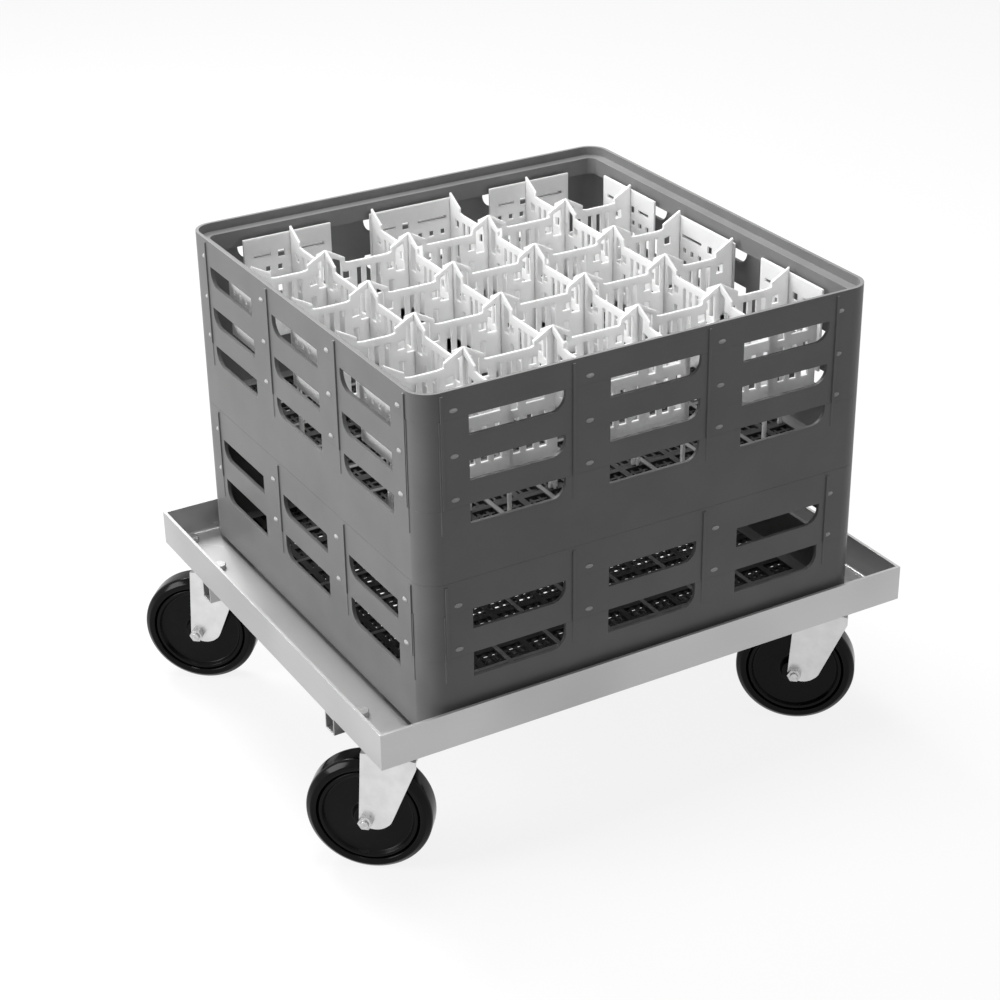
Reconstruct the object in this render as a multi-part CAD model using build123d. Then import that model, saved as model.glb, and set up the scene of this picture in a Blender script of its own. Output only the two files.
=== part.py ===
"""Glass rack dolly: a welded angle-iron tray on four swivel casters, with two stacked
glass racks standing in it. The lower rack has one slot frame, the upper one has two
and a set of interlocking dividers that make twenty-five compartments.

Millimetres, +Z up, floor at z = 0. The design is laid out about the tray's centre.
The four wheels trail the same way, so the whole is shifted when it is written out,
to put the origin at the bottom centre of everything.
"""
import math
import os

from build123d import *

# Rack plan, which sets the tray round it.
RACK_SIDE = 502.0
RACK_CORNER = 23.0
WALL = 4.0

# Tray, of angle iron with its standing leg outside and its flat leg as a ledge.
SIDE_CLEARANCE = 9.0
END_CLEARANCE = 54.0
ANGLE_HEIGHT = 38.1
LEDGE_WIDTH = 60.0
ANGLE_THICK = 3.2
ROOT_RADIUS = 4.0

# Casters: 5 in wheels that all trail the same way.
WHEEL_RADIUS = 63.5
WHEEL_WIDTH = 32.0
TREAD_SLOPE = 5.0
CORE_SHARE = 0.8
HUB_RADIUS = 14.0
WEB_WIDTH = 24.0
WHEEL_TO_CROWN = 11.0
TRAIL = 32.0
HEADING = 140.0
SWIVEL_FROM_END = 47.5
SWIVEL_FROM_SIDE = 54.0
TOP_PLATE_X = 64.0
TOP_PLATE_Y = 92.0
TOP_PLATE_THICK = 3.0
RACE_HEIGHT = 11.0
RACE_RADIUS = 25.0
BOLT_SPACING_X = 44.0
BOLT_SPACING_Y = 73.0
PLATE_BOLT_R = 4.0
AXLE_R = 4.0
KINGPIN_R = 6.0
SHEET = 3.0
RUNNING_GAP = 0.05
BOLT_HOLE_GAP = 0.2
BOLT_HEAD_FLATS = 12.7
BOLT_HEAD_HEIGHT = 5.0
BOLT_END = 2.5
NUT_HEIGHT = 6.5

# Plates and braces under the tray.
GUSSET_SIDE = 88.0
GUSSET_INSET = 12.0
GUSSET_THICK = 3.0
BRACE_SIDE = 19.0
BRACE_WALL = 1.6
BRACE_GAP = 1.5

# Rack floors, feet and rims.
FOOT_HEIGHT = 7.0
FOOT_SHARE = 0.61
FOOT_GAP = 1.0
FLOOR_BORDER = 16.0
FLOOR_THICK = 6.0
FLOOR_CELLS = 8
FLOOR_RIB = 5.0
LIP_THICK = 3.5
LIP_DEPTH = 9.5
RIM_LEDGE = 11.0
RIB_WIDTH = 2.0
RIB_PROUD = 0.8

# Windows, which are notches in the top edge of a rack piece, three to a wall.
WINDOW_PITCH_SHARE = 0.297
WINDOW_WIDTH_SHARE = 0.2008
WINDOW_BIG_R = 15.0
RIB_PAST_WINDOW = 8.6

# Heights of the rack pieces.
LOWER_BASE_HEIGHT = 80.7
LOWER_FRAME_HEIGHT = 46.7
LOWER_RIM_HEIGHT = 33.4
UPPER_BASE_HEIGHT = 76.1
UPPER_FRAME_LOW_HEIGHT = 43.6
UPPER_FRAME_HIGH_HEIGHT = 45.0
UPPER_RIM_HEIGHT = 27.8
LOWER_BASE_WINDOW = 26.2
LOWER_FRAME_WINDOW = 21.4
UPPER_WINDOW = 20.0

# Snap tabs that hold the rack pieces together, placed by shares of the rack's side.
TAB_WIDTH = 5.0
TAB_HEIGHT = 4.0
TAB_ABOVE_SEAM = 6.0
TAB_SHARES = (-0.428, -0.145, 0.145, 0.422)

# Dividers of the upper rack.
CELLS = 5
CELL_PITCH_SHARE = 0.1927
DIVIDER_THICK = 2.4
DIVIDER_HEIGHT = 155.0
DIVIDER_PEAK = 12.0
END_PLATE_FROM_WALL = 18.0
END_PLATE_WIDTH_SHARE = 0.203
END_PLATE_HEIGHT = 88.0
LAP_GAP = 0.15
SLOTS_PER_CELL = 3
SLOT_WIDTH = 5.0
SLOT_HEIGHT = 30.0
SLOT_BELOW_TOP = 22.0

# Levels, from the floor up.
fork_under = 2 * WHEEL_RADIUS + WHEEL_TO_CROWN
fork_top = fork_under + SHEET
plate_bottom = fork_top + RACE_HEIGHT
plate_top = plate_bottom + TOP_PLATE_THICK
tray_bottom = plate_top + GUSSET_THICK
ledge_top = tray_bottom + ANGLE_THICK
lower_shoulder = ledge_top + FOOT_HEIGHT
lower_seam_1 = lower_shoulder + LOWER_BASE_HEIGHT
lower_seam_2 = lower_seam_1 + LOWER_FRAME_HEIGHT
lower_top = lower_seam_2 + LOWER_RIM_HEIGHT
upper_seam_1 = lower_top + UPPER_BASE_HEIGHT
upper_seam_2 = upper_seam_1 + UPPER_FRAME_LOW_HEIGHT
upper_seam_3 = upper_seam_2 + UPPER_FRAME_HIGH_HEIGHT
upper_top = upper_seam_3 + UPPER_RIM_HEIGHT

# Plan sizes that follow from the rack.
tray_x = RACK_SIDE + 2 * END_CLEARANCE
tray_y = RACK_SIDE + 2 * SIDE_CLEARANCE
swivel_x = tray_x / 2 - SWIVEL_FROM_END
swivel_y = tray_y / 2 - SWIVEL_FROM_SIDE
core_radius = CORE_SHARE * WHEEL_RADIUS
leg_gap = WHEEL_WIDTH + 7
window_pitch = WINDOW_PITCH_SHARE * RACK_SIDE
window_width = WINDOW_WIDTH_SHARE * RACK_SIDE
tab_places = [share * RACK_SIDE for share in TAB_SHARES]
along_x = abs(math.cos(math.radians(HEADING)))
along_y = abs(math.sin(math.radians(HEADING)))
shoulder_radius = WHEEL_RADIUS - TREAD_SLOPE
wheel_reach_x = shoulder_radius * along_x + WHEEL_WIDTH / 2 * along_y
wheel_reach_y = shoulder_radius * along_y + WHEEL_WIDTH / 2 * along_x

corners = {
    "front_left": (-1, -1),
    "front_right": (1, -1),
    "rear_left": (-1, 1),
    "rear_right": (1, 1),
}


def extent(half, swivel, lean, reach):
    """Least and greatest place of everything along one axis of the plan."""
    least = min(-half, -swivel + lean - reach)
    greatest = max(half, swivel + lean + reach)
    return least, greatest


lean_x = TRAIL * math.cos(math.radians(HEADING))
lean_y = TRAIL * math.sin(math.radians(HEADING))
least_x, greatest_x = extent(tray_x / 2, swivel_x, lean_x, wheel_reach_x)
least_y, greatest_y = extent(tray_y / 2, swivel_y, lean_y, wheel_reach_y)
to_origin = Pos(-(least_x + greatest_x) / 2, -(least_y + greatest_y) / 2, 0)


def block(x0, x1, y0, y1, z0, z1):
    """A plain block between two corners."""
    size = Box(x1 - x0, y1 - y0, z1 - z0)
    return Pos((x0 + x1) / 2, (y0 + y1) / 2, (z0 + z1) / 2) * size


def save(node, *solids):
    """Write one node, which may hold several alike solids."""
    found = [solid for shape in solids for solid in shape.solids()]
    whole = Compound(children=[to_origin * solid for solid in found])
    export_step(whole, f"parts/{node}.step")


def nearest(vertices, x, y):
    """The sketch vertex that lies closest to a place."""
    return min(vertices, key=lambda v: math.hypot(v.X - x, v.Y - y))


# Tray rails: one angle section, cut to a mitre at both ends.
def angle_section():
    with BuildSketch() as section:
        with BuildLine():
            Polyline((0, 0), (LEDGE_WIDTH, 0), (LEDGE_WIDTH, ANGLE_THICK),
                     (ANGLE_THICK, ANGLE_THICK), (ANGLE_THICK, ANGLE_HEIGHT),
                     (0, ANGLE_HEIGHT), close=True)
        make_face()
        fillet(nearest(section.vertices(), ANGLE_THICK, ANGLE_THICK), ROOT_RADIUS)
    return section.sketch


def rail(length, offset):
    """A rail along X on the -Y side, with its outer face at the given offset."""
    standing = Plane(origin=(-length / 2, -offset, tray_bottom),
                     x_dir=(0, 1, 0), z_dir=(1, 0, 0))
    bar = extrude(standing * angle_section(), amount=length)
    mitre = Polyline((-length / 2, -offset),
                     (length / 2, -offset),
                     (length / 2 - LEDGE_WIDTH, -offset + LEDGE_WIDTH),
                     (-length / 2 + LEDGE_WIDTH, -offset + LEDGE_WIDTH),
                     close=True)
    keep = extrude(Pos(0, 0, tray_bottom) * make_face(mitre), amount=ANGLE_HEIGHT)
    return bar & keep


bolt_places = [
    (sx * swivel_x + dx * BOLT_SPACING_X / 2, sy * swivel_y + dy * BOLT_SPACING_Y / 2)
    for sx, sy in corners.values() for dx in (-1, 1) for dy in (-1, 1)
]


def bolt_holes():
    """Drills for all the plate bolts, long enough for every sheet they pass."""
    drill = Cylinder(PLATE_BOLT_R + BOLT_HOLE_GAP, 30)
    return [Pos(x, y, plate_top) * drill for x, y in bolt_places]


def over_ledge(x, y):
    """Whether a bolt comes up through the tray's ledge, and not inside it."""
    return abs(x) > tray_x / 2 - LEDGE_WIDTH or abs(y) > tray_y / 2 - LEDGE_WIDTH


# Racks: rings with rounded corners, notched for the windows.
def rounded(side, radius, z0, z1):
    return Pos(0, 0, z0) * extrude(RectangleRounded(side, side, radius), amount=z1 - z0)


def ring(z0, z1, wall):
    outer = rounded(RACK_SIDE, RACK_CORNER, z0, z1)
    return outer - rounded(RACK_SIDE - 2 * wall, RACK_CORNER - wall, z0, z1)


def window(height):
    """One notch's outline, with a large radius on one lower corner."""
    half = window_width / 2
    with BuildSketch() as outline:
        with BuildLine():
            Polyline((-half, -height), (half, -height), (half, 1), (-half, 1), close=True)
        make_face()
        fillet(nearest(outline.vertices(), half, -height), WINDOW_BIG_R)
    return outline.sketch


def side_cuts(height, z_top):
    """Window cutters for one wall, the one at -Y."""
    face = Plane(origin=(0, -RACK_SIDE / 2 + 2 * WALL, z_top),
                 x_dir=(1, 0, 0), z_dir=(0, -1, 0))
    notch = extrude(face * window(height), amount=4 * WALL)
    return [Pos(x, 0, 0) * notch for x in (-window_pitch, 0, window_pitch)]


def side_ribs(z0, z1):
    """Thin upright ribs on one wall: one past each window and one at the near post."""
    wall = -RACK_SIDE / 2
    past = window_width / 2 + RIB_PAST_WINDOW
    before = RACK_SIDE / 2 - RACK_CORNER + RIB_WIDTH / 2
    places = [-window_pitch + past, past, window_pitch + past, -before]
    return [block(x - RIB_WIDTH / 2, x + RIB_WIDTH / 2, wall - RIB_PROUD, wall + 1, z0, z1)
            for x in places]


def side_tabs(seam, gap=0.0):
    """Snap tabs of one seam on one wall, or the pockets for them."""
    wall = -RACK_SIDE / 2
    low = seam + TAB_ABOVE_SEAM
    return [block(x - TAB_WIDTH / 2 - gap, x + TAB_WIDTH / 2 + gap,
                  wall - RIB_PROUD, wall + WALL / 2,
                  low - gap, low + TAB_HEIGHT + gap)
            for x in tab_places]


def all_round(pieces):
    """The pieces of the -Y wall, put on every wall. Two walls have them mirrored."""
    mirrored = [mirror(piece, about=Plane.YZ) for piece in pieces]
    placed = list(pieces)
    placed += [Rot(0, 0, -90) * piece for piece in mirrored]
    placed += [Rot(0, 0, 180) * piece for piece in pieces]
    placed += [Rot(0, 0, 90) * piece for piece in mirrored]
    return placed


def slot_frame(z0, z1, window_height, seam):
    """A wall ring with windows in its top edge and snap pockets near its bottom."""
    wall = ring(z0, z1, WALL) + all_round(side_ribs(z0, z1))
    return wall - all_round(side_cuts(window_height, z1)) - all_round(side_tabs(seam))


def rim(seam, top):
    """The top frame: a lip round a ledge, where the next rack's feet nest."""
    ledge = top - LIP_DEPTH
    whole = ring(seam, top, LIP_THICK + RIM_LEDGE)
    inside = RACK_SIDE - 2 * LIP_THICK
    nest = rounded(inside, RACK_CORNER - LIP_THICK, ledge, top)
    return whole - nest - all_round(side_tabs(seam))


def base(shoulder, top, window_height):
    """The bottom piece: wall, open floor of ribs, and a foot along each side."""
    wall = ring(shoulder, top, WALL) + all_round(side_ribs(top - 25, top))
    floor = rounded(RACK_SIDE - WALL, RACK_CORNER - WALL / 2, shoulder, shoulder + FLOOR_THICK)
    clear = RACK_SIDE - 2 * FLOOR_BORDER
    pitch = clear / FLOOR_CELLS
    hole = Box(pitch - FLOOR_RIB, pitch - FLOOR_RIB, 40)
    floor -= [Pos(0, 0, shoulder) * place * hole
              for place in GridLocations(pitch, pitch, FLOOR_CELLS, FLOOR_CELLS)]
    out = RACK_SIDE / 2 - LIP_THICK - FOOT_GAP
    half_foot = FOOT_SHARE * RACK_SIDE / 2
    foot = block(-half_foot, half_foot, -out, -out + WALL,
                 shoulder - FOOT_HEIGHT, shoulder)
    return wall + floor + all_round([foot]) - all_round(side_cuts(window_height, top))


# Dividers: flat strips that cross, each slit to half its height.
cell = CELL_PITCH_SHARE * RACK_SIDE
strip_half = RACK_SIDE / 2 - WALL - END_PLATE_FROM_WALL
divider_bottom = lower_top + FLOOR_THICK
divider_lines = [(i - (CELLS - 2) / 2) * cell for i in range(CELLS - 1)]


def strip_outline():
    """Side view of a strip: level top that rises to a peak at each crossing and end."""
    top = DIVIDER_HEIGHT + DIVIDER_PEAK
    reach = cell * 0.22
    points = [(-strip_half, 0), (strip_half, 0), (strip_half, top),
              (strip_half - reach, DIVIDER_HEIGHT)]
    for x in reversed(divider_lines):
        points += [(x + reach, DIVIDER_HEIGHT), (x, top), (x - reach, DIVIDER_HEIGHT)]
    points += [(-strip_half + reach, DIVIDER_HEIGHT), (-strip_half, top)]
    slots = [
        Pos((i - (CELLS - 1) / 2 + (j - (SLOTS_PER_CELL - 1) / 2) / (SLOTS_PER_CELL + 1)) * cell,
            DIVIDER_HEIGHT - SLOT_BELOW_TOP - SLOT_HEIGHT / 2)
        * Rectangle(SLOT_WIDTH, SLOT_HEIGHT)
        for i in range(CELLS) for j in range(SLOTS_PER_CELL)
    ]
    return make_face(Polyline(*points, close=True)) - slots


def end_plates():
    """Upright plates inside one wall, behind its windows, that the strips end against."""
    half = END_PLATE_WIDTH_SHARE * RACK_SIDE / 2
    top = divider_bottom + DIVIDER_HEIGHT + DIVIDER_PEAK
    return [block(x - half, x + half, -strip_half - DIVIDER_THICK, -strip_half,
                  top - END_PLATE_HEIGHT, top)
            for x in (-window_pitch, 0, window_pitch)]


def strip(y, slit_from_top):
    """A strip along X at the given y, slit from above or from below."""
    face = Plane(origin=(0, y + DIVIDER_THICK / 2, divider_bottom),
                 x_dir=(1, 0, 0), z_dir=(0, -1, 0))
    solid = extrude(face * strip_outline(), amount=DIVIDER_THICK)
    half = DIVIDER_THICK / 2 + LAP_GAP
    middle = divider_bottom + DIVIDER_HEIGHT / 2
    low, high = (middle, middle + 200) if slit_from_top else (middle - 200, middle)
    return solid - [block(x - half, x + half, y - 10, y + 10, low, high)
                    for x in divider_lines]


# Caster pieces, drawn about the swivel axis with the wheel trailing along +X.
def upright_revolve(points):
    """A full turn of a half section about the swivel axis."""
    return revolve(Plane.XZ * make_face(Polyline(*points, close=True)), Axis.Z)


def kingpin():
    """Peened pin through the top plate, the race and the fork."""
    shank = Pos(0, 0, fork_under) * Cylinder(
        KINGPIN_R, plate_top - fork_under, align=(Align.CENTER, Align.CENTER, Align.MIN))
    head = Pos(0, 0, fork_under - 5) * Cone(
        KINGPIN_R, KINGPIN_R + 4, 5, align=(Align.CENTER, Align.CENTER, Align.MIN))
    return shank + head


def race():
    """Swivel race: a pressed dome between the top plate and the fork."""
    bore = KINGPIN_R
    return upright_revolve([(bore, fork_top), (RACE_RADIUS, fork_top),
                            (RACE_RADIUS, fork_top + 4), (RACE_RADIUS - 6, plate_bottom),
                            (bore, plate_bottom)])


def fork():
    """Pressed fork: two legs, each with a wing bent out from it, under a flat crown."""
    outer = leg_gap / 2 + SHEET
    crease = TRAIL - 21
    back = -21
    flare = 8
    toe = WHEEL_RADIUS - 10
    leg = Polyline((60, outer), (crease, outer), (back, outer + flare),
                   (back, outer + flare - SHEET), (crease, outer - SHEET),
                   (60, outer - SHEET), close=True)
    legs = Pos(0, 0, toe - 5) * extrude(make_face(leg), amount=fork_top - toe + 5)
    crown = Polyline((60, outer), (crease, outer), (back, outer + flare),
                     (back, -outer - flare), (crease, -outer), (60, -outer), close=True)
    body = legs + mirror(legs, about=Plane.XZ)
    body += Pos(0, 0, fork_under) * extrude(make_face(crown), amount=SHEET)
    with BuildSketch() as side:
        with BuildLine():
            Line((TRAIL + 7.5, WHEEL_RADIUS - 1.5), (TRAIL + 3, fork_top))
            Line((TRAIL + 3, fork_top), (back, fork_top))
            Line((back, fork_top), (back, fork_top - 9))
            Line((back, fork_top - 9), (TRAIL - 26, WHEEL_RADIUS + 1))
            ThreePointArc((TRAIL - 26, WHEEL_RADIUS + 1), (TRAIL - 8, toe),
                          (TRAIL + 7.5, WHEEL_RADIUS - 1.5))
        make_face()
    face = Plane(origin=(0, 60, 0), x_dir=(1, 0, 0), z_dir=(0, -1, 0))
    body = body & extrude(face * side.sketch, amount=120)
    body -= Pos(0, 0, fork_top) * Cylinder(KINGPIN_R + RUNNING_GAP, 20)
    return body - Pos(TRAIL, 0, WHEEL_RADIUS) * Rot(90, 0, 0) * Cylinder(AXLE_R + 0.1, 120)


def across(radius, length, start):
    """A round bar along the axle, from one place towards +Y."""
    bar = Cylinder(radius, length, align=(Align.CENTER, Align.CENTER, Align.MIN))
    return Pos(TRAIL, start, WHEEL_RADIUS) * Rot(-90, 0, 0) * bar


def hex_across(flats, length, start):
    body = extrude(RegularPolygon(flats / 2, 6, major_radius=False), amount=length)
    return Pos(TRAIL, start, WHEEL_RADIUS) * Rot(-90, 0, 0) * body


def axle_bolt():
    outer = leg_gap / 2 + SHEET
    return across(AXLE_R, 2 * outer + 9, -outer) + hex_across(13, 5.3, -outer - 5.3)


def axle_nut():
    outer = leg_gap / 2 + SHEET
    return hex_across(13, 6.8, outer) - across(AXLE_R, 20, outer - 5)


def wheel_revolve(points):
    """A full turn about the axle of a half section given as radius and half width."""
    both = points + [(r, -w) for r, w in reversed(points)]
    section = make_face(Polyline(*both, close=True))
    turned = revolve(Plane(origin=(0, 0, 0), x_dir=(0, 0, 1), z_dir=(1, 0, 0)) * section, Axis.Y)
    return Pos(TRAIL, 0, WHEEL_RADIUS) * turned


def wheel_core():
    hub = leg_gap / 2 - 0.4
    return wheel_revolve([(AXLE_R + RUNNING_GAP, hub), (HUB_RADIUS, hub),
                          (HUB_RADIUS, WEB_WIDTH / 2), (core_radius, WEB_WIDTH / 2)])


def tyre():
    half = WHEEL_WIDTH / 2
    return wheel_revolve([(core_radius, half), (shoulder_radius, half),
                          (WHEEL_RADIUS, half - TREAD_SLOPE - 1)])


os.makedirs("parts", exist_ok=True)

drills = bolt_holes()
save("front_rail", rail(tray_x, tray_y / 2) - drills)
save("rear_rail", Rot(0, 0, 180) * rail(tray_x, tray_y / 2) - drills)
save("left_rail", Rot(0, 0, -90) * rail(tray_y, tray_x / 2) - drills)
save("right_rail", Rot(0, 0, 90) * rail(tray_y, tray_x / 2) - drills)

gussets = []
top_plates = []
for sx, sy in corners.values():
    x = sx * (tray_x / 2 - GUSSET_INSET - GUSSET_SIDE / 2)
    y = sy * (tray_y / 2 - GUSSET_INSET - GUSSET_SIDE / 2)
    square = Pos(x, y, plate_top + GUSSET_THICK / 2) * Box(GUSSET_SIDE, GUSSET_SIDE, GUSSET_THICK)
    inner = square.edges().filter_by(Axis.Z).sort_by_distance((0, 0, plate_top))[0]
    gussets.append(chamfer(inner, 20) - drills)
    plate = Pos(sx * swivel_x, sy * swivel_y, plate_bottom + TOP_PLATE_THICK / 2) * Box(
        TOP_PLATE_X, TOP_PLATE_Y, TOP_PLATE_THICK)
    plate = chamfer(plate.edges().filter_by(Axis.Z), 6)
    pin_hole = Pos(sx * swivel_x, sy * swivel_y, plate_top) * Cylinder(KINGPIN_R, 20)
    top_plates.append(plate - drills - pin_hole)
save("corner_gussets", *gussets)
save("caster_top_plates", *top_plates)

brace_y = tray_y / 2 - GUSSET_INSET - GUSSET_SIDE - BRACE_GAP - BRACE_SIDE / 2
braces = []
for y in (-brace_y, brace_y):
    tube = Box(tray_x, BRACE_SIDE, BRACE_SIDE)
    tube -= Box(tray_x + 1, BRACE_SIDE - 2 * BRACE_WALL, BRACE_SIDE - 2 * BRACE_WALL)
    braces.append(Pos(0, y, tray_bottom - BRACE_SIDE / 2) * tube)
save("cross_braces", *braces)


def hexagon(flats, height):
    return extrude(RegularPolygon(flats / 2, 6, major_radius=False), amount=height)


bolts = []
nuts = []
for x, y in bolt_places:
    seat = ledge_top if over_ledge(x, y) else tray_bottom
    end = plate_bottom - NUT_HEIGHT - BOLT_END
    shank = Pos(x, y, (seat + end) / 2) * Cylinder(PLATE_BOLT_R, seat - end)
    bolts.append(Pos(x, y, seat) * hexagon(BOLT_HEAD_FLATS, BOLT_HEAD_HEIGHT) + shank)
    nut = Pos(x, y, plate_bottom - NUT_HEIGHT) * hexagon(BOLT_HEAD_FLATS, NUT_HEIGHT)
    nuts.append(nut - Pos(x, y, plate_bottom) * Cylinder(PLATE_BOLT_R, 30))
save("plate_bolts", *bolts)
save("plate_nuts", *nuts)

spots = {name: Pos(sx * swivel_x, sy * swivel_y, 0) * Rot(0, 0, HEADING)
         for name, (sx, sy) in corners.items()}
save("kingpins", *[spot * kingpin() for spot in spots.values()])
save("swivel_races", *[spot * race() for spot in spots.values()])
for name, spot in spots.items():
    save(f"{name}_fork", spot * fork())
    save(f"{name}_axle_bolt", spot * axle_bolt())
    save(f"{name}_axle_nut", spot * axle_nut())
    save(f"{name}_wheel_core", spot * wheel_core())
    save(f"{name}_tyre", spot * tyre())

save("lower_base", base(lower_shoulder, lower_seam_1, LOWER_BASE_WINDOW))
save("lower_slot_frame",
     slot_frame(lower_seam_1, lower_seam_2, LOWER_FRAME_WINDOW, lower_seam_1))
save("lower_rim", rim(lower_seam_2, lower_top))
save("lower_snap_tabs",
     *all_round(side_tabs(lower_seam_1)), *all_round(side_tabs(lower_seam_2)))

save("upper_base", base(lower_top, upper_seam_1, UPPER_WINDOW))
save("upper_slot_frame_low",
     slot_frame(upper_seam_1, upper_seam_2, UPPER_WINDOW, upper_seam_1))
save("upper_slot_frame_high",
     slot_frame(upper_seam_2, upper_seam_3, UPPER_WINDOW, upper_seam_2))
save("upper_rim", rim(upper_seam_3, upper_top))
save("upper_snap_tabs",
     *all_round(side_tabs(upper_seam_1)), *all_round(side_tabs(upper_seam_2)),
     *all_round(side_tabs(upper_seam_3)))

save("dividers_long", *[strip(y, True) for y in divider_lines])
save("dividers_cross", *[Rot(0, 0, 90) * strip(y, False) for y in divider_lines])
save("divider_end_plates", *all_round(end_plates()))
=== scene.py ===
import math

import bmesh
import bpy
from mathutils import Matrix, Vector


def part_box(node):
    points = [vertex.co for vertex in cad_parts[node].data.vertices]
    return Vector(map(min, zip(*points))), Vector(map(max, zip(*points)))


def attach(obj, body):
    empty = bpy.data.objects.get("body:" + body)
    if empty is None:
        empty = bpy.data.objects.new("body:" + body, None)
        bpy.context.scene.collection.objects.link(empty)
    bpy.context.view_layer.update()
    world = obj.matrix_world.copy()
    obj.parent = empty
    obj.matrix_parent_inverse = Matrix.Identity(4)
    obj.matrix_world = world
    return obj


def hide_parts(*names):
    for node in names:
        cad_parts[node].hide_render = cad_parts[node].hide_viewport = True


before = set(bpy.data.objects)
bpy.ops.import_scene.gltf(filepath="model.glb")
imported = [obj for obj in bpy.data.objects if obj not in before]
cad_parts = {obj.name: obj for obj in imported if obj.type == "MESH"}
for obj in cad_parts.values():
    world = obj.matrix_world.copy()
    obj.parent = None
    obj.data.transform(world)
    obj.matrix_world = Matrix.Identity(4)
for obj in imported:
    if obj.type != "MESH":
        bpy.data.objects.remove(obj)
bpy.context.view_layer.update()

# Camera.
# A long lens looking down on the near corner, as in the product photograph. Its place was
# found from the outlines of the racks, the tray and the wheels, in the tray's own axes.
tray_low, tray_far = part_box("front_rail")[0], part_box("rear_rail")[1]
tray_centre = Vector(((tray_low.x + tray_far.x) / 2, (tray_low.y + tray_far.y) / 2, 0))

camera_place = Vector((-1.0515, -1.7970, 1.3301)) + tray_centre
azimuth = math.radians(29.72)
elevation = math.radians(27.57)
roll = math.radians(-0.90)
focal_length_in_widths = 2.2111

forward = Vector((math.sin(azimuth) * math.cos(elevation),
                  math.cos(azimuth) * math.cos(elevation), -math.sin(elevation)))
level_right = forward.cross(Vector((0, 0, 1))).normalized()
level_up = level_right.cross(forward)
right = level_right * math.cos(roll) + level_up * math.sin(roll)
up = level_up * math.cos(roll) - level_right * math.sin(roll)

lens = bpy.data.cameras.new("photo_camera")
lens.sensor_width = 36
lens.lens = lens.sensor_width * focal_length_in_widths
lens.clip_start = 0.05
lens.clip_end = 50
camera = bpy.data.objects.new("photo_camera", lens)
camera.matrix_world = Matrix((
    (right.x, up.x, -forward.x, camera_place.x),
    (right.y, up.y, -forward.y, camera_place.y),
    (right.z, up.z, -forward.z, camera_place.z),
    (0, 0, 0, 1)))
bpy.context.collection.objects.link(camera)
bpy.context.scene.camera = camera
bpy.context.scene.view_settings.view_transform = "Standard"


# Studio lamps and white surroundings.
# A soft box at the left lights the left-hand walls, and two more, above and behind, light the
# dividers and the ledge. The right-hand walls get only what comes back from the room.
lamps_look_at = Vector((0, 0, 0.3))


def soft_lamp(name, place, side, watts):
    """A square soft box that looks at the middle of the racks."""
    data = bpy.data.lights.new(name, "AREA")
    data.size = side
    data.energy = watts
    lamp = bpy.data.objects.new(name, data)
    lamp.location = place
    look = lamps_look_at - Vector(place)
    lamp.rotation_euler = look.to_track_quat("-Z", "Y").to_euler()
    bpy.context.collection.objects.link(lamp)


soft_lamp("left_soft_box", place=(-2.8, 0.5, 1.5), side=1.3, watts=52)
soft_lamp("top_soft_box", place=(-0.1, 0.1, 2.7), side=1.0, watts=42)
soft_lamp("back_soft_box", place=(-0.3, 2.0, 2.4), side=1.2, watts=72)


def add_node(tree, kind, inputs=None, links=None, **settings):
    """Add one shader node, with its settings, its inputs' values and the links into it."""
    made = tree.nodes.new(kind)
    for name, value in settings.items():
        setattr(made, name, value)
    for name, value in (inputs or {}).items():
        made.inputs[name].default_value = value
    for name, source in (links or {}).items():
        tree.links.new(source, made.inputs[name])
    return made


def linear(hex_colour):
    """An sRGB hex colour as the linear values that Blender's sockets take."""
    parts = [int(hex_colour[i:i + 2], 16) / 255 for i in (1, 3, 5)]
    return [p / 12.92 if p <= 0.04045 else ((p + 0.055) / 1.055) ** 2.4 for p in parts] + [1.0]


room_light_strength = 0.24
world = bpy.data.worlds.new("white_surroundings")
bpy.context.scene.world = world
world.use_nodes = True
sky = world.node_tree
sky.nodes.clear()
ray = add_node(sky, "ShaderNodeLightPath")
seen = add_node(sky, "ShaderNodeMath", operation="MAXIMUM",
                links={0: ray.outputs["Is Camera Ray"], 1: ray.outputs["Is Glossy Ray"]})
seen = add_node(sky, "ShaderNodeMath", operation="MAXIMUM",
                links={0: seen.outputs[0], 1: ray.outputs["Is Transmission Ray"]})
room_light = add_node(sky, "ShaderNodeBackground",
                      inputs={"Color": linear("#FFFFFF"), "Strength": room_light_strength})
white_wall = add_node(sky, "ShaderNodeBackground",
                      inputs={"Color": linear("#FFFFFF"), "Strength": 1.0})
either = add_node(sky, "ShaderNodeMixShader",
                  links={0: seen.outputs[0], 1: room_light.outputs[0], 2: white_wall.outputs[0]})
add_node(sky, "ShaderNodeOutputWorld", links={"Surface": either.outputs[0]})


# Floor.
# Painted board. To the camera and in reflections it is mostly white of its own, so it blends
# with the background and still takes a soft shadow. For the light that it sends back onto the
# walls it is grey.
def new_material(name):
    """An empty node material and its tree."""
    material = bpy.data.materials.new(name)
    material.use_nodes = True
    material.node_tree.nodes.clear()
    return material, material.node_tree


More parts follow.
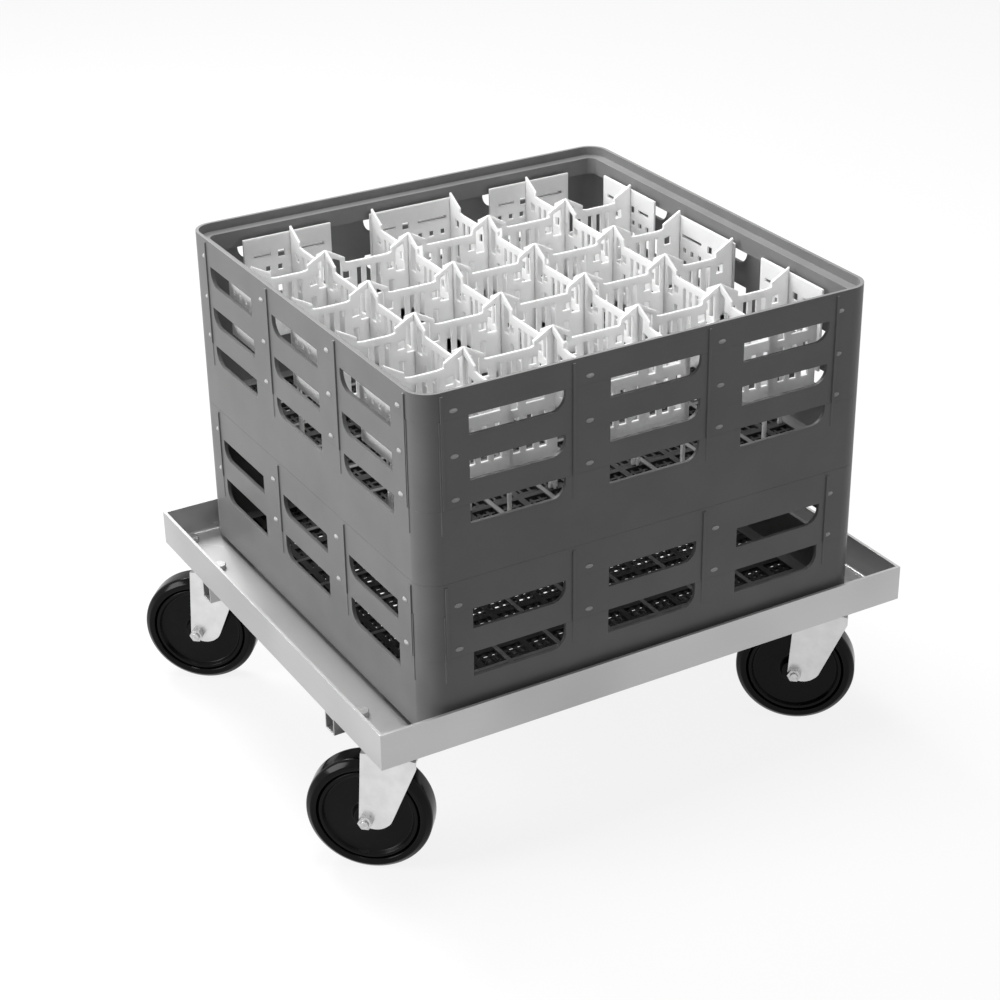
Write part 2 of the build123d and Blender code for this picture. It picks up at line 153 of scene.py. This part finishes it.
floor_size = 30.0
own_white_share = 0.86
floor_mesh = bpy.data.meshes.new("studio_floor")
floor_mesh.from_pydata([(-floor_size, -floor_size, 0), (floor_size, -floor_size, 0),
                        (floor_size, floor_size, 0), (-floor_size, floor_size, 0)],
                       [], [(0, 1, 2, 3)])
floor = bpy.data.objects.new("studio_floor", floor_mesh)
bpy.context.collection.objects.link(floor)
painted_board, tree = new_material("white_painted_board")
ray = add_node(tree, "ShaderNodeLightPath")
seen = add_node(tree, "ShaderNodeMath", operation="MAXIMUM",
                links={0: ray.outputs["Is Camera Ray"], 1: ray.outputs["Is Glossy Ray"]})
bounced = add_node(tree, "ShaderNodeBsdfDiffuse", inputs={"Color": linear("#969696")})
paint = add_node(tree, "ShaderNodeBsdfDiffuse", inputs={"Color": linear("#F4F4F4")})
own_white = add_node(tree, "ShaderNodeEmission",
                     inputs={"Color": linear("#FFFFFF"), "Strength": 1.0})
shown = add_node(tree, "ShaderNodeMixShader", inputs={0: own_white_share},
                 links={1: paint.outputs[0], 2: own_white.outputs[0]})
both = add_node(tree, "ShaderNodeMixShader",
                links={0: seen.outputs[0], 1: bounced.outputs[0], 2: shown.outputs[0]})
add_node(tree, "ShaderNodeOutputMaterial", links={"Surface": both.outputs[0]})
floor_mesh.materials.append(painted_board)


# Tray rails.
# Four lengths of rolled steel angle, mitred and welded into a frame with a ledge, then
# plated. Rolled angle has slightly rounded edges, and they catch the light as a bright line.
def surface(name, **settings):
    """A material of one principled shader, whose sockets are set by name."""
    material, tree = new_material(name)
    sockets = {k.replace("_", " ").title().replace("Ior", "IOR"): v for k, v in settings.items()}
    shader = add_node(tree, "ShaderNodeBsdfPrincipled", inputs=sockets)
    add_node(tree, "ShaderNodeOutputMaterial", links={"Surface": shader.outputs[0]})
    return material, tree, shader


def clouded(tree, shader, patch_mm, dark, light, detail=3.0, span=(0.3, 0.7)):
    """Let a shader's colour drift from dark to light over patches of a real size."""
    place = add_node(tree, "ShaderNodeTexCoord")
    cloud = add_node(tree, "ShaderNodeTexNoise",
                     inputs={"Scale": 1000 / patch_mm, "Detail": detail},
                     links={"Vector": place.outputs["Object"]})
    tone = add_node(tree, "ShaderNodeValToRGB", links={"Fac": cloud.outputs["Fac"]})
    for stop, position, colour in zip(tone.color_ramp.elements, span, (dark, light)):
        stop.position = position
        stop.color = linear(colour)
    tree.links.new(tone.outputs["Color"], shader.inputs["Base Color"])
    return place.outputs["Object"], cloud.outputs["Fac"]


def shade_evenly(made, crease=40):
    """Smooth shading whose normals follow the big faces, with creases kept sharp."""
    for face in made.data.polygons:
        face.use_smooth = True
    made.data.set_sharp_from_angle(angle=math.radians(crease))
    even = made.modifiers.new("even_normals", "WEIGHTED_NORMAL")
    even.keep_sharp = True
    even.weight = 80


def round_edges(build, radius):
    """Give a mesh's sharp edges a small radius."""
    sharp = [e for e in build.edges
             if len(e.link_faces) == 2 and e.calc_face_angle() > math.radians(30)]
    bmesh.ops.bevel(build, geom=sharp, offset=radius, segments=2, profile=0.5,
                    affect="EDGES", clamp_overlap=True)


def softened(node, body, material, radius, suffix="moulded", crease=40, reshape=None):
    """A copy of a CAD node with small rounded edges, which stands for it."""
    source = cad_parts[node]
    mesh = source.data.copy()
    build = bmesh.new()
    build.from_mesh(mesh)
    bmesh.ops.remove_doubles(build, verts=build.verts, dist=0.00002)
    bmesh.ops.dissolve_limit(build, angle_limit=math.radians(1), verts=build.verts,
                             edges=build.edges)
    if reshape:
        for vertex in build.verts:
            vertex.co.z = reshape(vertex.co.z)
    round_edges(build, radius)
    bmesh.ops.dissolve_degenerate(build, dist=0.000002, edges=build.edges)
    build.to_mesh(mesh)
    build.free()
    mesh.materials.clear()
    mesh.materials.append(material)
    made = bpy.data.objects.new(f"{node}_{suffix}", mesh)
    bpy.context.collection.objects.link(made)
    shade_evenly(made, crease)
    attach(made, body)
    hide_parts(node)


# Plated mild steel: a pale satin metal, with fine lines drawn out along the bar by rolling
# and a slow change of tone where the plating is thicker. The lines are drawn 1 mm apart.
drawn_line_mm = 1.0
drawn_length_mm = 60
plating_cloud_mm = 260


def drawn_steel(name, along):
    """Plated steel angle whose rolling lines run along one axis."""
    material, tree, shader = surface(name, metallic=0.7)
    place, _ = clouded(tree, shader, plating_cloud_mm, "#B2B2B2", "#C9C9C9", 2.0, (0.35, 0.65))
    stretch = [1000 / drawn_line_mm] * 3
    stretch[along] = 1000 / drawn_length_mm
    stretched = add_node(tree, "ShaderNodeMapping", inputs={"Scale": stretch},
                         links={"Vector": place})
    lines = add_node(tree, "ShaderNodeTexNoise", inputs={"Scale": 1.0, "Detail": 2.0},
                     links={"Vector": stretched.outputs["Vector"]})
    dull = add_node(tree, "ShaderNodeMapRange", inputs={"To Min": 0.3, "To Max": 0.46},
                    links={"Value": lines.outputs["Fac"]})
    tree.links.new(dull.outputs["Result"], shader.inputs["Roughness"])
    relief = add_node(tree, "ShaderNodeBump", inputs={"Strength": 0.1, "Distance": 0.0001},
                      links={"Height": lines.outputs["Fac"]})
    tree.links.new(relief.outputs["Normal"], shader.inputs["Normal"])
    return material


steel_along_x = drawn_steel("plated_rolled_angle_along_x", 0)
steel_along_y = drawn_steel("plated_rolled_angle_along_y", 1)
rolled_radius = 0.0008
cut_radius = 0.0004
for rail in ("front_rail", "rear_rail"):
    softened(rail, "dolly_frame", steel_along_x, rolled_radius, "rolled")
for rail in ("left_rail", "right_rail"):
    softened(rail, "dolly_frame", steel_along_y, rolled_radius, "rolled")
softened("corner_gussets", "dolly_frame", steel_along_x, cut_radius, "cut")
softened("cross_braces", "dolly_frame", steel_along_x, cut_radius, "cut")


# Caster plates, races, pins and forks.
# Pressed from sheet steel and bright zinc plated, so they are the lightest metal here. The
# pressings have soft edges, where the sheet was sheared and tumbled.
zinc_cloud_mm = 14
sheet_radius = 0.0004
fork_radius = 0.0006
bright_zinc, tree, shader = surface("bright_zinc_plated_pressing", metallic=0.82)
_, cloud = clouded(tree, shader, zinc_cloud_mm, "#D6D6D6", "#E2E2E2")
dull = add_node(tree, "ShaderNodeMapRange", inputs={"To Min": 0.22, "To Max": 0.4},
                links={"Value": cloud})
tree.links.new(dull.outputs["Result"], shader.inputs["Roughness"])
corners = ["front_left", "front_right", "rear_left", "rear_right"]
for node in ("caster_top_plates", "kingpins", "swivel_races"):
    softened(node, "dolly_frame", bright_zinc, sheet_radius, "pressed")
for corner in corners:
    softened(f"{corner}_fork", f"swivel_{corner}", bright_zinc,
             fork_radius, "pressed", crease=9)


# Bolts and nuts.
# Cold-headed hexagon bolts and their nuts, zinc plated and a little duller than the forks,
# with the small round-over that a hexagon head has on its corners.
speckle_mm = 2.5
headed_radius = 0.0004
headed_zinc, tree, shader = surface("zinc_plated_cold_headed_steel", metallic=0.85, roughness=0.34)
clouded(tree, shader, speckle_mm, "#B9B9B9", "#DADADA")
plate_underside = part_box("caster_top_plates")[0].z
thin_nut_share = 0.42


def drawn_up(height):
    """Thin nuts and short bolt ends, which don't show under the front rail."""
    below = plate_underside - height
    return plate_underside - below * thin_nut_share if below > 0 else height


for node in ("plate_bolts", "plate_nuts"):
    softened(node, "dolly_frame", headed_zinc, headed_radius, "headed",
             reshape=drawn_up)
for corner in corners:
    for part in ("axle_bolt", "axle_nut"):
        softened(f"{corner}_{part}", f"swivel_{corner}", headed_zinc,
                 headed_radius, "headed")


# Wheels.
# A moulded black centre with a smooth glossy black tread round it. Both are turned here
# with rounded edges, round the middle of the CAD's tyre, and stand for the CAD's plainer pair.
# The radius is 0.02 mm under the CAD's, so that the finer circle stays in the CAD's box.
wheel_radius = 0.06348
core_radius = 0.0508
half_tread = 0.016
half_hub = 0.0191
rim_half = 0.0128
trail_angle = math.radians(140)
axle_direction = Vector((-math.sin(trail_angle), math.cos(trail_angle), 0))


def turned(name, outline, centre, axis, material, steps=96):
    """A closed ring turned about an axis, from points given as radius and place along it."""
    build = bmesh.new()
    side = axis.cross(Vector((0, 0, 1))).normalized()
    rise = side.cross(axis).normalized()
    rings = []
    for step in range(steps):
        angle = 2 * math.pi * step / steps
        out = side * math.cos(angle) + rise * math.sin(angle)
        rings.append([build.verts.new(centre + out * r + axis * w) for r, w in outline])
    count = len(outline)
    for step in range(steps):
        here, there = rings[step], rings[(step + 1) % steps]
        for i in range(count):
            j = (i + 1) % count
            build.faces.new((here[i], here[j], there[j], there[i]))
    bmesh.ops.recalc_face_normals(build, faces=build.faces)
    mesh = bpy.data.meshes.new(name)
    build.to_mesh(mesh)
    build.free()
    for face in mesh.polygons:
        face.use_smooth = True
    mesh.materials.append(material)
    made = bpy.data.objects.new(name, mesh)
    bpy.context.collection.objects.link(made)
    return made


def rounded_outline(points, radii, steps=6):
    """An outline whose corners are replaced by arcs of the given radii."""
    rounded = []
    count = len(points)
    for i, radius in enumerate(radii):
        here = Vector(points[i])
        before = (Vector(points[i - 1]) - here).normalized()
        after = (Vector(points[(i + 1) % count]) - here).normalized()
        opening = before.angle(after)
        reach = radius / math.tan(opening / 2)
        middle = here + (before + after).normalized() * radius / math.sin(opening / 2)
        start = here + before * reach - middle
        turn = (here + after * reach - middle).angle_signed(start)
        for step in range(steps + 1):
            share = step / steps
            spin = Matrix.Rotation(turn * share, 2)
            rounded.append(middle + spin @ start)
    return [(p.x, p.y) for p in rounded]


def mirrored(half):
    """The whole outline of a wheel piece from its half on one side."""
    return half + [(r, -w) for r, w in reversed(half)]


# Black moulded polymers: near black, smooth enough for sharp highlights, with a faint bloom
# that dulls them in patches about 9 mm across.
bloom_mm = 9


def black_moulding(name, bloomed, smooth, rough):
    """A black moulded wheel material, whose gloss changes slightly from place to place."""
    material, tree, shader = surface(name, ior=1.5, specular_ior_level=0.12)
    _, bloom = clouded(tree, shader, bloom_mm, "#040404", bloomed)
    dull = add_node(tree, "ShaderNodeMapRange", inputs={"To Min": smooth, "To Max": rough},
                    links={"Value": bloom})
    tree.links.new(dull.outputs["Result"], shader.inputs["Roughness"])
    return material


black_tread = black_moulding("moulded_black_polyurethane", "#090909", 0.08, 0.2)
black_centre = black_moulding("moulded_black_nylon", "#0B0B0B", 0.18, 0.32)

tread_half = [(core_radius, rim_half), (0.0524, 0.0156), (0.0575, half_tread),
              (wheel_radius, 0.0104)]
tread_radii = [0.0003, 0.0012, 0.003, 0.006]
core_half = [(0.0042, half_hub), (0.0130, half_hub), (0.0160, 0.0115), (0.0440, 0.0105),
             (0.0466, 0.0148), (0.0492, 0.0148), (core_radius, rim_half)]
core_radii = [0.0003, 0.0015, 0.003, 0.002, 0.001, 0.001, 0.0003]
for corner in corners:
    low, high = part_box(f"{corner}_tyre")
    hub = (low + high) / 2
    whole = rounded_outline(mirrored(tread_half), tread_radii + tread_radii[::-1])
    tread = turned(f"{corner}_tread", whole, hub, axle_direction, black_tread)
    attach(tread, f"wheel_{corner}")
    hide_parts(f"{corner}_tyre")
    whole = rounded_outline(mirrored(core_half), core_radii + core_radii[::-1])
    centre = turned(f"{corner}_centre", whole, hub, axle_direction, black_centre)
    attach(centre, f"wheel_{corner}")
    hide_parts(f"{corner}_wheel_core")


# Rack walls.
# Injection-moulded polypropylene frames, clicked together in tiers. Each keeps its CAD
# outline, and every edge gets the small radius that a moulding has.
mould_radius = 0.00045
flow_mm = 60
spark_grain_mm = 0.9


def moulded_plastic(name, dark, light, roughness=0.42, level=0.3, **more):
    """Matt moulded polypropylene: faint flow clouding and a fine spark-eroded grain."""
    material, tree, shader = surface(name, roughness=roughness, ior=1.49,
                                     specular_ior_level=level, **more)
    place, _ = clouded(tree, shader, flow_mm, dark, light)
    grain = add_node(tree, "ShaderNodeTexNoise",
                     inputs={"Scale": 1000 / spark_grain_mm, "Detail": 2.0},
                     links={"Vector": place})
    relief = add_node(tree, "ShaderNodeBump", inputs={"Strength": 0.15, "Distance": 0.0001},
                      links={"Height": grain.outputs["Fac"]})
    tree.links.new(relief.outputs["Normal"], shader.inputs["Normal"])
    return material


grey_rack = moulded_plastic("moulded_grey_polypropylene", "#767676", "#7E7E7E")
rack_tiers = {
    "lower_rack": ["lower_base", "lower_slot_frame", "lower_rim"],
    "upper_rack": ["upper_base", "upper_slot_frame_low", "upper_slot_frame_high", "upper_rim"],
}
for body, tiers in rack_tiers.items():
    for node in tiers:
        softened(node, body, grey_rack, mould_radius)


# Rack ribs.
# Upright stiffening ribs moulded on the outside of the upper tiers, one beyond each window
# and one at the post where the windows start. They stand 1.6 mm proud of the wall.
rack_low, rack_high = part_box("upper_base")
rack_middle = Vector(((rack_low.x + rack_high.x) / 2, (rack_low.y + rack_high.y) / 2, 0))
rack_half = 0.251
window_pitch = 0.149094
first_rib = -0.227
beyond_window = 0.059
rib_places = [first_rib] + [middle + beyond_window for middle in (-window_pitch, 0, window_pitch)]
rib_half_width = 0.0015
rib_proud = 0.0016
rib_root = 0.001
rib_radius = 0.0004
rib_above_seam = 0.0005
rib_below_rim = 0.0035


def wall_turn(wall):
    """The turn from the front wall to another one, and whether its windows are mirrored."""
    return Matrix.Rotation(-math.pi / 2 * wall, 3, "Z"), wall % 2 == 1


def on_wall(wall, along, out, height):
    """A point given along a wall, outwards from the rack's middle and up."""
    turn, flipped = wall_turn(wall)
    return rack_middle + turn @ Vector((-along if flipped else along, -out, height))


def add_block(build, wall, along, out, heights):
    """A block on a wall, from its range along the wall, its range outwards and its heights."""
    points = [build.verts.new(on_wall(wall, a, o, h)) for a in along for o in out for h in heights]
    for face in ((0, 1, 3, 2), (4, 6, 7, 5), (0, 4, 5, 1), (2, 3, 7, 6), (0, 2, 6, 4),
                 (1, 5, 7, 3)):
        build.faces.new([points[i] for i in face])


def built(name, build, material, body, rounding=0.0, replaced=()):
    """Clean a mesh, round its edges where asked, and make it a piece of a body."""
    bmesh.ops.remove_doubles(build, verts=build.verts, dist=0.000005)
    bmesh.ops.dissolve_degenerate(build, dist=0.000005, edges=build.edges)
    bmesh.ops.recalc_face_normals(build, faces=build.faces)
    if rounding:
        round_edges(build, rounding)
    mesh = bpy.data.meshes.new(name)
    build.to_mesh(mesh)
    build.free()
    mesh.materials.append(material)
    made = bpy.data.objects.new(name, mesh)
    bpy.context.collection.objects.link(made)
    shade_evenly(made)
    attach(made, body)
    if replaced:
        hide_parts(*replaced)


for body, tiers in rack_tiers.items():
    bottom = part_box(tiers[1])[0].z + rib_above_seam
    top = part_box(tiers[-1])[1].z - rib_below_rim
    build = bmesh.new()
    for wall in range(4):
        for place in rib_places:
            add_block(build, wall, (place - rib_half_width, place + rib_half_width),
                      (rack_half - rib_root, rack_half + rib_proud), (bottom, top))
    built(f"{body}_ribs", build, grey_rack, body, rib_radius)


# Snap tabs.
# Small moulded buttons that click through pockets in the wall and hold the tiers together.
# Each is a domed oval on a flat flange, of a glossier plastic than the wall. Their pale colour is
# painted highlight, and the domes and the gloss catch real highlights as well.
# Painted highlight: the buttons are given a pale colour so that they show as bright dots on the
# shaded walls.
button_pale_painted_highlight = moulded_plastic("glossy_button_plastic_painted_highlight", "#ACACAC", "#C2C2C2", 0.28, 0.5)
tab_places = [share * 2 * rack_half for share in (-0.428, -0.145, 0.145, 0.422)]
tab_above_seam = 0.008
tab_section = [(0.0042, -0.0016), (0.0042, 0.0004), (0.0034, 0.0008), (0.0026, 0.0015),
               (0.0014, 0.0020)]
tab_squash = 0.52
tab_steps = 20


def add_button(build, wall, along, height):
    """An oval domed button on a wall."""
    rings = []
    for radius, out in tab_section:
        ring = []
        for step in range(tab_steps):
            angle = 2 * math.pi * step / tab_steps
            ring.append(build.verts.new(on_wall(
                wall, along + radius * math.cos(angle), rack_half + out,
                height + radius * tab_squash * math.sin(angle))))
        rings.append(ring)
    for low_ring, high_ring in zip(rings, rings[1:]):
        for step in range(tab_steps):
            after = (step + 1) % tab_steps
            build.faces.new((low_ring[step], low_ring[after], high_ring[after], high_ring[step]))
    build.faces.new(rings[0])
    build.faces.new(rings[-1])


for body, tiers in rack_tiers.items():
    build = bmesh.new()
    for tier in tiers[1:]:
        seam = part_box(tier)[0].z
        for wall in range(4):
            for place in tab_places:
                add_button(build, wall, place, seam + tab_above_seam)
    built(f"{body}_snap_buttons", build, button_pale_painted_highlight, body,
          replaced=[f"{body.split('_')[0]}_snap_tabs"])


# Rack floors.
# Open moulded floors that let water through: wide ribs about every 29 mm, and between them
# a fine lower lattice. Little light comes up through it, and its near-black colour is painted
# shade, for the shade inside the racks.
# Painted shade: the floor plastic is made near black so that the inside of the racks looks dark.
floor_painted_shade_dark = moulded_plastic("floor_plastic_painted_shade_dark", "#2C2C2C", "#383838")
floor_half = 0.235
floor_pitch = 2 * floor_half / 16
floor_rib_width = 0.007
lattice_width = 0.0032
base_floor_thick = 0.007
# Above the CAD's floor: where the wide ribs and the lattice begin and end.
floor_rib_levels = (0.0004, 0.0058)
lattice_levels = (0.0001, 0.0032)


def edges_of_ribs(pitch, width):
    """Where ribs begin and end across a floor, as one sorted list."""
    count = round(2 * floor_half / pitch)
    edges = []
    for i in range(count + 1):
        middle = -floor_half + i * pitch
        edges += [middle - width / 2, middle + width / 2]
    return edges


def add_pierced(build, columns, rows, is_open, shape, half_thick):
    """A plate cut up into a grid of cells, with the open ones left out."""
    filled = [[not is_open((a + b) / 2, (c + d) / 2) for c, d in zip(rows, rows[1:])]
              for a, b in zip(columns, columns[1:])]
    points = {}

    def point(i, j, side):
        key = (i, j, side)
        if key not in points:
            points[key] = build.verts.new(shape(columns[i], rows[j], side * half_thick))
        return points[key]

    def solid(i, j):
        inside = 0 <= i < len(filled) and 0 <= j < len(filled[0])
        return inside and filled[i][j]

    for i in range(len(filled)):
        for j in range(len(filled[0])):
            if not filled[i][j]:
                continue
            for side in (-1, 1):
                build.faces.new([point(i, j, side), point(i + 1, j, side),
                                 point(i + 1, j + 1, side), point(i, j + 1, side)])
            walls = [((i, j), (i + 1, j), solid(i, j - 1)),
                     ((i, j + 1), (i + 1, j + 1), solid(i, j + 1)),
                     ((i, j), (i, j + 1), solid(i - 1, j)),
                     ((i + 1, j), (i + 1, j + 1), solid(i + 1, j))]
            for start, end, hidden in walls:
                if not hidden:
                    build.faces.new([point(*start, -1), point(*end, -1), point(*end, 1),
                                     point(*start, 1)])


def add_lattice(name, body, pitch, width, low, high):
    """A square lattice of ribs that fills a rack's floor between two heights."""
    edges = edges_of_ribs(pitch, width)
    bars = list(zip(edges[::2], edges[1::2]))
    build = bmesh.new()

    def is_open(x, y):
        return not any(a < x < b for a, b in bars) and not any(a < y < b for a, b in bars)

    def shape(x, y, offset):
        return rack_middle + Vector((x, y, (low + high) / 2 + offset))

    add_pierced(build, edges, edges, is_open, shape, (high - low) / 2)
    built(name, build, floor_painted_shade_dark, body)


for body, tiers in rack_tiers.items():
    floor_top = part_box(tiers[0])[0].z + base_floor_thick
    low, high = [floor_top + level for level in floor_rib_levels]
    add_lattice(f"{body}_floor_ribs", body, floor_pitch, floor_rib_width, low, high)
    low, high = [floor_top + level for level in lattice_levels]
    add_lattice(f"{body}_floor_lattice", body, floor_pitch / 3, lattice_width, low, high)


# Dividers.
# White moulded strips that interlock like an egg crate. Each has a pierced band with rows of
# slots, rises to a peak at every crossing, and stands on slim legs with splayed tops.
# Thin white polypropylene lets light through, so it scatters a few millimetres inside.
white_divider = moulded_plastic("moulded_white_polypropylene", "#F4F4F4", "#FAFAFA", 0.38, 0.4,
                                subsurface_weight=1.0, subsurface_scale=0.004,
                                subsurface_radius=(1.0, 1.0, 1.0))
cell = 0.1927 * 2 * rack_half
strip_half = 0.229
strip_half_thick = 0.0012
crossings = [(i - 1.5) * cell for i in range(4)]
posts = [-strip_half] + crossings + [strip_half]
peak_rise = 0.012
peak_reach = cell * 0.22
strip_foot, strip_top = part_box("dividers_long")[0].z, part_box("dividers_long")[1].z
strip_level = strip_top - peak_rise
peak_row_top = strip_level + 0.006
peak_rises_from = strip_level - 0.022
band_bottom = strip_level - 0.064
splay_bottom = band_bottom - 0.024
splay_lip = 0.0015
leg_half = 0.0045
splay_half = 0.017
half_slit = 0.00135
slit_level = strip_foot + 0.0775
end_margin = 0.004

# The openings of one cell. Heights are from the strip's level and places from the cell's
# middle, but the notches beside a crossing are measured from that crossing.
tall_slot_pitch, tall_slot_half, tall_slot_heights = 0.011, 0.0029, (-0.042, -0.008)
side_slot_place = 0.026
square_half, square_heights = 0.004, (-0.018, -0.010)
low_slot_half, low_slot_heights = 0.003, (-0.052, -0.030)
notch_from_crossing, notch_heights = (0.0165, 0.0065), (-0.022, 0.001)


def nearest_post(x):
    """How far a place along a strip is from the nearest crossing or end."""
    return min(abs(x - post) for post in posts)


def cell_openings():
    """Openings in one cell of a strip: ranges along it from the cell's middle, and heights."""
    found = []

    def opening(start, end, heights):
        found.append((start, end, strip_level + heights[0], strip_level + heights[1]))

    for i in (-1, 0, 1):
        middle = i * tall_slot_pitch
        opening(middle - tall_slot_half, middle + tall_slot_half, tall_slot_heights)
    for side in (-1, 1):
        middle = side * side_slot_place
        opening(middle - square_half, middle + square_half, square_heights)
        opening(middle - low_slot_half, middle + low_slot_half, low_slot_heights)
        start, end = sorted(side * (cell / 2 - away) for away in notch_from_crossing)
        opening(start, end, notch_heights)
    return found


def add_strip(build, cross_at, lengthways, slit_from_top):
    """One strip, with its slots, legs and slits, along X or along Y."""
    columns = {-strip_half, strip_half}
    heights = {strip_foot, slit_level, band_bottom, splay_bottom, peak_row_top}
    middles = [(a + b) / 2 for a, b in zip(posts, posts[1:])]
    openings = []
    for middle in middles:
        for a, b, low, high in cell_openings():
            reach = strip_half - end_margin
            if -reach < middle + a and middle + b < reach:
                openings.append((middle + a, middle + b, low, high))
    for a, b, low, high in openings:
        columns |= {a, b}
        heights |= {low, high}
    for post in posts:
        for reach in (half_slit, leg_half, splay_half, peak_reach):
            columns |= {x for x in (post - reach, post + reach) if abs(x) < strip_half}
    columns = sorted(columns)
    heights = sorted(heights)

    def is_open(x, z):
        if any(abs(x - c) < half_slit for c in crossings) and (z > slit_level) == slit_from_top:
            return True
        if z > strip_level and nearest_post(x) > peak_reach:
            return True
        if z < splay_bottom:
            return nearest_post(x) > leg_half
        if z < band_bottom:
            return nearest_post(x) > splay_half
        return any(a < x < b and low < z < high for a, b, low, high in openings)

    def shape(x, z, offset):
        away = nearest_post(x)
        lift = peak_rise * max(0.0, 1 - away / peak_reach)
        top_share = (z - peak_rises_from) / (peak_row_top - peak_rises_from)
        z = z + lift * min(1.0, max(0.0, top_share))
        if abs(z - splay_bottom) < 1e-6 and away > leg_half:
            z = band_bottom - splay_lip
        if z > strip_level and lift == 0:
            z = strip_level
        along, across = (x, cross_at + offset) if lengthways else (cross_at + offset, x)
        return rack_middle + Vector((along, across, z))

    add_pierced(build, columns, heights, is_open, shape, strip_half_thick)


for node, lengthways, slit_from_top in (("dividers_long", True, True),
                                        ("dividers_cross", False, False)):
    build = bmesh.new()
    for place in crossings:
        add_strip(build, place, lengthways, slit_from_top)
    built(f"{node}_pierced", build, white_divider, "upper_rack",
          replaced=[node])


# Divider end plates.
# White plates behind the windows of the upper rack, three to a wall. The strips end against
# them. Each has thin slots under its top edge and two rows of holes below them.
plate_half = 0.203 * rack_half
plate_low, plate_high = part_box("divider_end_plates")[0].z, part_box("divider_end_plates")[1].z
plate_out = strip_half + strip_half_thick
thin_slot_depths = (0.019, 0.0225)
small_hole_half, small_hole_depths = 0.0028, (0.034, 0.040)
tall_hole_half, tall_hole_depths = 0.004, (0.048, 0.070)
plate_openings = [(-0.043, -0.007, *thin_slot_depths), (0.004, 0.012, 0.018, 0.026),
                  (0.020, 0.040, *thin_slot_depths)]
for hole in (-0.038, -0.024, -0.010, 0.010, 0.024, 0.038):
    plate_openings.append((hole - small_hole_half, hole + small_hole_half, *small_hole_depths))
    plate_openings.append((hole - tall_hole_half, hole + tall_hole_half, *tall_hole_depths))


def add_end_plate(build, wall, along):
    """One end plate on a wall, from its openings given along it and down from its top."""
    columns = sorted({-plate_half, plate_half} | {x for o in plate_openings for x in o[:2]})
    depths = sorted({0.0, plate_high - plate_low} | {d for o in plate_openings for d in o[2:]})

    def is_open(x, depth):
        return any(a < x < b and c < depth < d for a, b, c, d in plate_openings)

    def shape(x, depth, offset):
        return on_wall(wall, along + x, plate_out + offset, plate_high - depth)

    add_pierced(build, columns, depths, is_open, shape, strip_half_thick)


build = bmesh.new()
for wall in range(4):
    for along in (-window_pitch, 0, window_pitch):
        add_end_plate(build, wall, along)
built("divider_end_plates_pierced", build, white_divider, "upper_rack",
      replaced=["divider_end_plates"])
